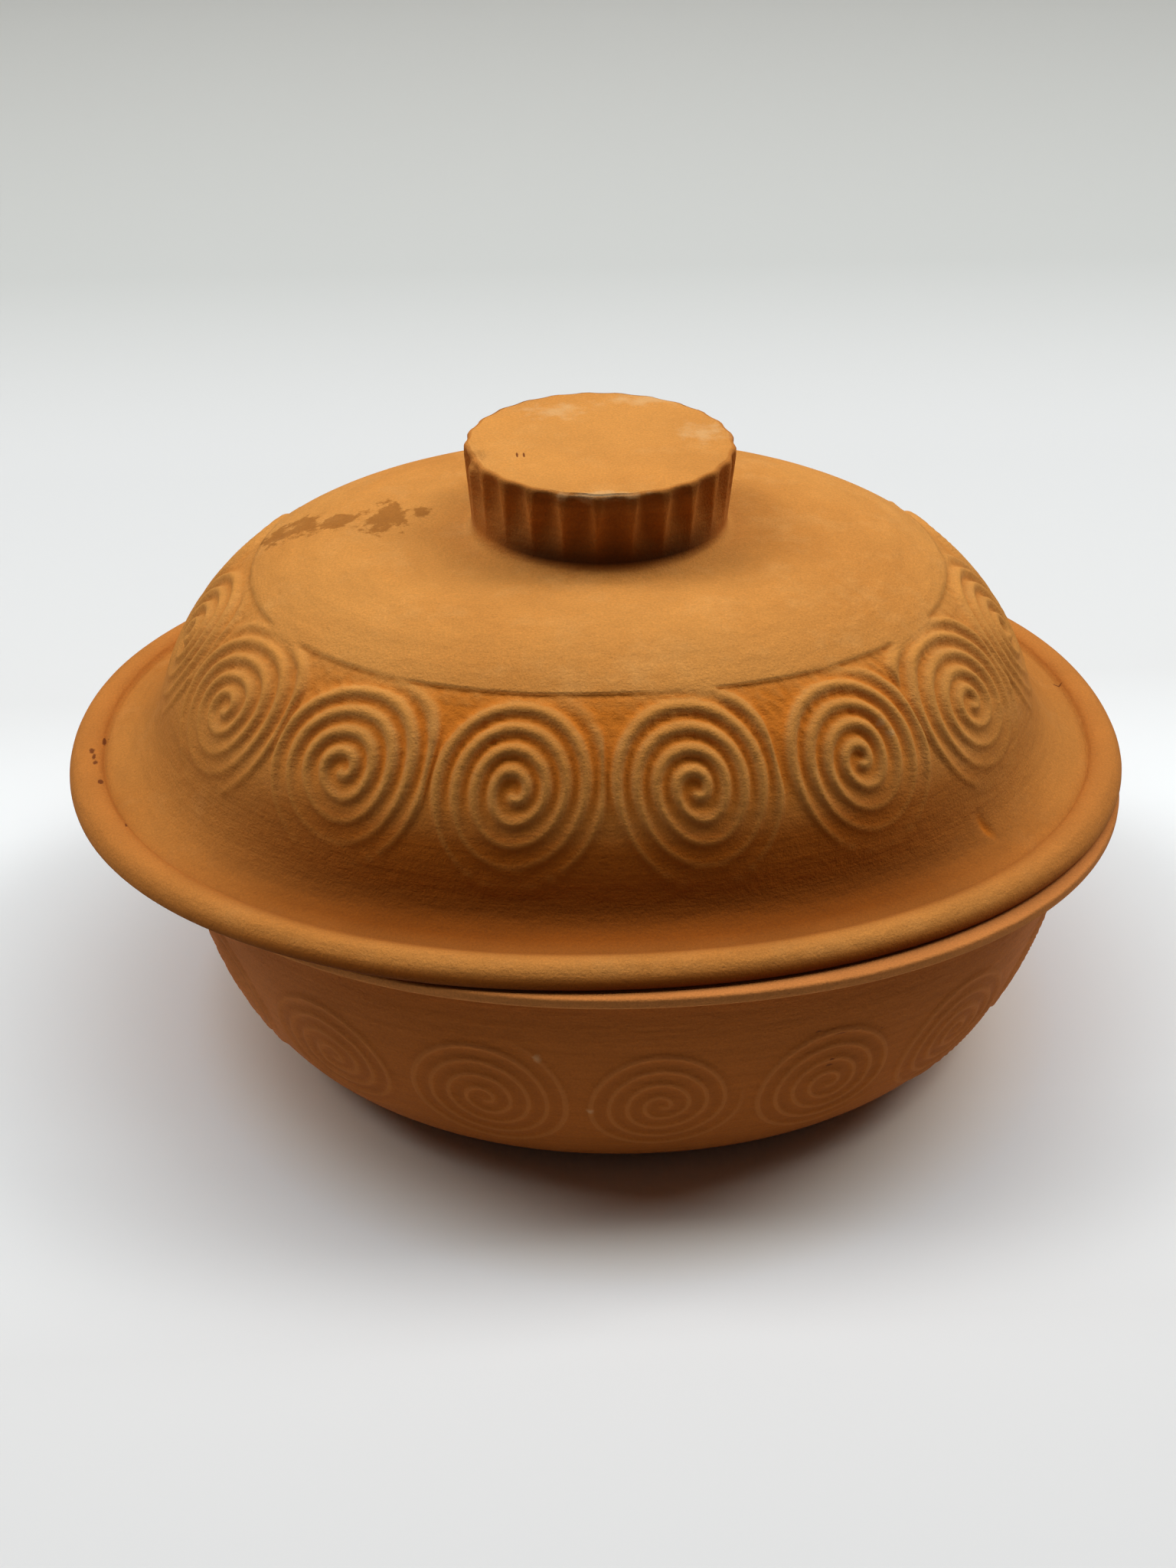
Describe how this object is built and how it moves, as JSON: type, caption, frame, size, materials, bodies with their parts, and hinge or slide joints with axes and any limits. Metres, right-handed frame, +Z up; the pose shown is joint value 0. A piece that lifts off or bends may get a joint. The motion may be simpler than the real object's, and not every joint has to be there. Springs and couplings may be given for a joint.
{
  "type": "clay baker",
  "caption": "Oval unglazed clay baker: a rounded bowl with a thin flange under a loose domed lid with carved coils and a fluted knob, used to braise or roast in an oven.",
  "frame": {"origin": "middle of the base's flat foot", "axes": "+X along the length, +Y to the back, +Z up"},
  "size_m": [0.3321, 0.2706, 0.1901],
  "materials": {
    "base_clay": "unglazed fired clay, matt, reddish brown",
    "lid_clay": "unglazed fired clay, matt, ochre orange, redder at the rim"
  },
  "bodies": {
    "base": {"base": "base_clay"},
    "lid": {"lid": "lid_clay"}
  },
  "joints": [
    {"name": "lid_lift", "type": "slide", "parent": "base", "child": "lid", "axis": [0, 0, 1], "range_m": [0, 0.16]}
  ]
}
